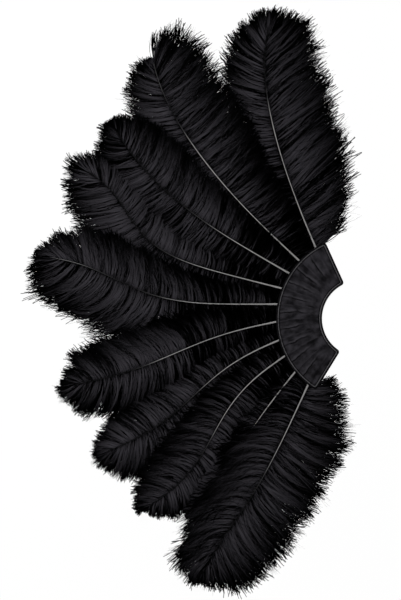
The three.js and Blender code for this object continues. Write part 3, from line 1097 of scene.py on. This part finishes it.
@dataclass
class Crescent:
    """The two sewn cloths that hold the quills, with the cord round the front one.

    crease_width: in degrees. crease_before: how far inside the quills' ends a crease starts. wrinkles: how
    many to the metre, how high, and in which plane of the noise. smoothed: how much of them is on a ridge.
    cord_rise: how far the cord stands out, in its radii. blend_at: where a bay's direction is taken.
    """

    # How finely the cord is made, how it rounds its corners, and how fast its twist runs along the ends.
    CORD_SIDES, CORD_POINTS, CORD_CORNER, CORD_ENDS = 2, 28, 0.3, 0.4

    layout: Layout
    lines: Sequence[QuillLine]
    columns: int = 52
    rows: int = 36
    ridge_width: float = 3.0 * MM
    crease_width: float = 2.2
    crease_before: float = 4 * MM
    crease_depth: float = 0.5 * MM
    wrinkles: tuple[tuple[float, float, float], ...] = ((120, 0.35 * MM, 0.0), (330, 0.14 * MM, 4.0))
    smoothed: float = 0.35
    loft: float = 0.25 * MM
    cord_radius: float = 0.7 * MM
    cord_inset: float = 3.1 * MM
    cord_bend: float = 2 * MM
    cord_rise: float = 0.55
    blend_at: float = 78 * MM

    def bays(self) -> Iterator[Bay]:
        """Yields the bays from the -X end to the +X end."""
        ordered = list(reversed(self.lines))
        spread = self.layout.half_spread
        for a, b in zip(ordered, ordered[1:]):
            one, two, middle = a.plume, b.plume, self._midway(a, b)
            end = 1 if b is ordered[-1] else -1 if a is ordered[0] else 0
            low = (lambda r: -spread) if end < 0 else a.angle_at
            high = (lambda r: spread) if end > 0 else b.angle_at
            if {one.number, two.number} == MIDDLE_PLUMES:
                yield Bay("06_middle", low, middle, (low, middle), (one.body, "base"), middle)
                yield Bay("middle_05", middle, high, (middle, high), ("base", two.body), middle)
                continue
            name = f"{one.number:02d}_{two.number:02d}"
            yield Bay(name, low, high, (a.angle_at, b.angle_at), (one.body, two.body), middle, end)

    def _midway(self, a: QuillLine, b: QuillLine) -> Line:
        """Returns the line midway between two quills."""
        return lambda r: (a.angle_at(r) + b.angle_at(r)) / 2

    def build(self, cloth: bpy.types.Material, lining: bpy.types.Material, cord: bpy.types.Material) -> None:
        """Makes all the pieces of the crescent.

        Args:
            cloth: the front cloth's finish.
            lining: the back cloth's finish.
            cord: the cord's finish.
        """
        for bay in self.bays():
            for layer, finish in ((Layer.FRONT, cloth), (Layer.BACK, lining)):
                piece = self._panel(bay, layer)
                piece.data.materials.append(finish)
                self._hold(piece, bay)
                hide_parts(layer.value)
                self._declare(piece, bay)
                LOG.info("cloth %s", piece.name)
            edge = self._edging(bay)
            edge.data.materials.append(cord)
            self._hold(edge, bay)
            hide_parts("edge_cord")
            LOG.info("cord %s", edge.name)

    def _hold(self, piece: bpy.types.Object, bay: Bay) -> None:
        """Works out where a piece would cross from one body of its bay to the other, and bakes its place."""
        rings = (self.blend_at, self.layout.outer)
        near, far = ([self.layout.polar(r, line(r)) for line in bay.held] for r in rings)
        ahead = (far[0] - near[0] + far[1] - near[1]).normalized()
        across = Vector((ahead.y, -ahead.x))
        end = near[0] + across * (near[1] - near[0]).dot(across)
        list(bay.bodies)
        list(near[0])
        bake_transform(piece)

    def _declare(self, piece: bpy.types.Object, bay: Bay) -> None:
        """Works out the size a bay of cloth was cut to, a wedge as wide as its outer arc, and keeps nothing.
        """
        lay = self.layout
        across = math.radians(bay.high(lay.outer) - bay.low(lay.outer)) * lay.outer
        cut = sum(face.area for face in piece.data.polygons)
        width, length = across, lay.outer - lay.inner
        if cut > width * length:
            width = cut / length
        quills = [body.replace("plume", "shaft") for body in bay.bodies if body != "base"]

    def front_height(self, radius: float, angle: float) -> float:
        """Returns the height of the front cloth's upper face.

        Args:
            radius: distance from the centre.
            angle: degrees from +Y.
        """
        lay = self.layout
        nearest, next_one = sorted(abs(line.angle_at(radius) - angle) for line in self.lines)[:2]
        away = math.radians(nearest) * max(radius, lay.root)
        pocket = smoothstep(radius, lay.root - lay.fade, lay.root - lay.clearance)
        ridge = math.exp(-((away / self.ridge_width) ** 2)) * pocket
        creased = smoothstep(radius, lay.root - self.crease_before, lay.outer)
        crease = math.exp(-(((next_one - nearest) / self.crease_width) ** 2)) * creased
        spot = lay.polar(radius, angle)
        uneven = sum(noise.noise((*(spot * count), plane)) * size for count, size, plane in self.wrinkles)
        level = 2 * lay.cloth + lay.clearance + ridge * 2 * (lay.quill_root + lay.clearance)
        return level + uneven * mix(1, self.smoothed, ridge) + self.loft - crease * self.crease_depth

    def _panel(self, bay: Bay, layer: Layer) -> bpy.types.Object:
        """Makes one bay of one cloth.

        Args:
            bay: the bay.
            layer: which cloth.

        Returns:
            The piece.
        """
        bm = bmesh.new()
        bmesh.ops.create_grid(bm, x_segments=self.columns, y_segments=self.rows, size=0.5)
        maps = [bm.loops.layers.uv.new(name) for name in (CLOTH_MAP, FOLD_MAP, EDGE_MAP)]
        lay = self.layout
        for vert in bm.verts:
            share, run = vert.co.x + 0.5, vert.co.y + 0.5
            radius, angle = self._spot(bay, share, run)
            flat = lay.polar(radius, angle)
            level = lay.cloth if layer is Layer.BACK else self.front_height(radius, angle)
            vert.co = (flat.x, flat.y, level)
            fold = math.radians(angle - bay.crease(radius)) * radius
            edge = min(radius - lay.inner, lay.outer - radius, lay.to_end(radius, angle))
            for loop in vert.link_loops:
                for uv_map, place in zip(maps, (flat, (fold, radius), (edge, 0.0))):
                    loop[uv_map].uv = place
        bmesh.ops.recalc_face_normals(bm, faces=bm.faces[:])
        if sum(face.normal.z for face in bm.faces) < 0:
            bmesh.ops.reverse_faces(bm, faces=bm.faces[:])
        name = f"{layer.name.lower()}_{bay.name}"
        mesh = bpy.data.meshes.new(name)
        bm.to_mesh(mesh)
        bm.free()
        mesh.shade_smooth()
        piece = add_object(name, mesh)
        wall = piece.modifiers.new("thickness", "SOLIDIFY")
        wall.thickness, wall.offset = lay.cloth, -1.0
        return piece

    def _spot(self, bay: Bay, share: float, run: float) -> tuple[float, float]:
        """Returns the distance and angle of a point of a bay, with the crescent's corners rounded.

        Args:
            bay: the bay.
            share: how far across it.
            run: how far from its inner to its outer edge.
        """
        lay = self.layout
        radius = mix(lay.inner, lay.outer, run)
        angle = bay.angle(radius, share)
        to_end = lay.to_end(radius, angle)
        if to_end >= lay.corner:
            return radius, angle
        cut = lay.corner - math.sqrt(max(0.0, lay.corner**2 - (lay.corner - to_end) ** 2))
        radius = mix(lay.inner + cut, lay.outer - cut, run)
        return radius, bay.angle(radius, share)

    def _edging(self, bay: Bay) -> bpy.types.Object:
        """Makes the cord of one bay: along both arcs, and round the straight end of an end bay."""
        name = f"cord_{bay.name}"
        curve = new_rod(name, self.CORD_SIDES)
        for path in self._cord_paths(bay):
            places = np.array([self._on_cloth(radius, angle) for radius, angle in path])
            size = np.full(len(places), self.cord_radius)
            add_spline(curve, places, size, np.zeros(len(places)))
        piece = as_mesh(name, curve)
        self._measure(piece.data)
        return piece

    def _on_cloth(self, radius: float, angle: float) -> tuple[float, float, float]:
        """Returns a point of the cord's middle, lying on the front cloth."""
        flat = self.layout.polar(radius, angle)
        return flat.x, flat.y, self.front_height(radius, angle) + self.cord_radius * self.cord_rise

    def _cord_paths(self, bay: Bay) -> Iterator[list[tuple[float, float]]]:
        """Yields the cord's lines in a bay as (distance, angle) points."""
        lay = self.layout
        outer, inner = lay.outer - self.cord_inset, lay.inner + self.cord_inset
        steps = np.linspace(0, 1, self.CORD_POINTS)
        if not bay.end:
            for radius in (outer, inner):
                yield [(radius, bay.angle(radius, t)) for t in steps]
            return
        sign, bend, corner = bay.end, self.cord_bend, self.CORD_CORNER
        quill = bay.low if sign > 0 else bay.high

        def end(radius: float) -> float:
            """Returns the angle of the line inside the straight end."""
            return sign * (lay.half_spread - math.degrees(self.cord_inset / radius))

        near = math.degrees(bend / outer) * sign
        path = [(outer, mix(quill(outer), end(outer) - near, t)) for t in steps]
        path.append((outer - bend * corner, end(outer) - near * corner))
        straight = [mix(outer - bend, inner + bend, t) for t in steps]
        path += [(radius, end(radius)) for radius in straight]
        near = math.degrees(bend / inner) * sign
        path.append((inner + bend * corner, end(inner) - near * corner))
        path += [(inner, mix(end(inner) - near, quill(inner), t)) for t in steps]
        yield path

    def _measure(self, mesh: bpy.types.Mesh) -> None:
        """Gives the cord's map metres along, by each vertex's own place."""
        layer = mesh.uv_layers[0]
        layer.name = STRAND_MAP
        for loop in mesh.loops:
            x, y, _ = mesh.vertices[loop.vertex_index].co
            offset = Vector((x, y)) - self.layout.centre
            turn = math.atan2(offset.x, offset.y)
            layer.uv[loop.index].vector.x = offset.length * (turn + self.CORD_ENDS)


@dataclass(frozen=True)
class Studio:
    """The floor, the lights and the camera.

    looks_at: the point under the camera. turn: the camera's, in degrees. covers: the height of the picture
    there. floor_drop: how far the floor lies under the fan. room: the strength of the even light.
    """

    looks_at: tuple[float, float, float] = (0.0118, 0.13695, 0.008)
    turn: float = 3.6
    covers: float = 0.825
    lens: float = 100.0
    sensor: float = 36.0
    floor_size: float = 8.0
    floor_drop: float = 0.3 * MM
    room: float = 0.18

    def build(self) -> None:
        """Makes the studio."""
        self._floor()
        self._world()
        self._light("key", place=(0.5, 0.75, 1.5), size=0.8, power=30.0)
        self._light("fill", place=(-0.9, -0.4, 1.3), size=1.4, power=5.0)
        self._camera()

    def _floor(self) -> None:
        """Lays a white floor under the fan."""
        bm = bmesh.new()
        bmesh.ops.create_grid(bm, x_segments=1, y_segments=1, size=self.floor_size)
        bmesh.ops.translate(bm, verts=bm.verts[:], vec=(0.0, 0.0, -self.floor_drop))
        mesh = bpy.data.meshes.new("floor")
        bm.to_mesh(mesh)
        bm.free()
        floor = add_object("floor", mesh)
        mesh.materials.append(FloorFinish().material())

    def _world(self) -> None:
        """Lights the room evenly."""
        world = bpy.data.worlds.new("room")
        world.use_nodes = True
        sky = world.node_tree.nodes["Background"]
        sky.inputs["Color"].default_value = (*WHITE, 1.0)
        sky.inputs["Strength"].default_value = self.room
        bpy.context.scene.world = world

    def _light(self, name: str, place: tuple[float, float, float], size: float, power: float) -> None:
        """Adds a square soft light that faces the fan.

        Args:
            name: its name.
            place: where it is.
            size: the length of its sides.
            power: in watts.
        """
        lamp = bpy.data.lights.new(name, "AREA")
        lamp.size, lamp.energy = size, power
        holder = add_object(name, lamp)
        holder.location = place
        ahead = Vector(self.looks_at) - Vector(place)
        holder.rotation_euler = ahead.to_track_quat("-Z", "Y").to_euler()

    def _camera(self) -> None:
        """Sets a camera straight above, with the plumes towards the left of the picture."""
        camera = bpy.data.cameras.new("camera")
        camera.lens, camera.sensor_width = self.lens, self.sensor
        holder = add_object("camera", camera)
        t = math.radians(self.turn)
        right, up = Vector((math.sin(t), -math.cos(t), 0)), Vector((math.cos(t), math.sin(t), 0))
        frame = Matrix((right, up, Vector((0, 0, 1)))).transposed().to_4x4()
        height = self.covers / self.sensor * self.lens
        frame.translation = Vector(self.looks_at) + Vector((0, 0, height))
        holder.matrix_world = frame
        bpy.context.scene.camera = holder
        bpy.context.scene.view_settings.view_transform = "Standard"


def main() -> None:
    """Builds the fan in its studio."""
    logging.basicConfig(level=logging.INFO, format="%(message)s")
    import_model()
    Studio().build()
    layout = Layout()
    lines = [QuillLine(plume, layout) for plume in PLUMES]
    barbs, quill = BarbFinish().material(), QuillFinish().material()
    for plume, line in zip(PLUMES, lines):
        LOG.info("shaft %s", Quill(plume, line).build(quill).name)
        for side in Side:
            LOG.info("barbs %s", Barbs(plume, side, line).build(barbs).name)
    crescent = Crescent(layout, lines)
    crescent.build(
        cloth=ClothFinish("black_cloth").material(),
        lining=ClothFinish("black_lining").material(),
        cord=CordFinish().material(),
    )


if __name__ == "__main__":
    main()
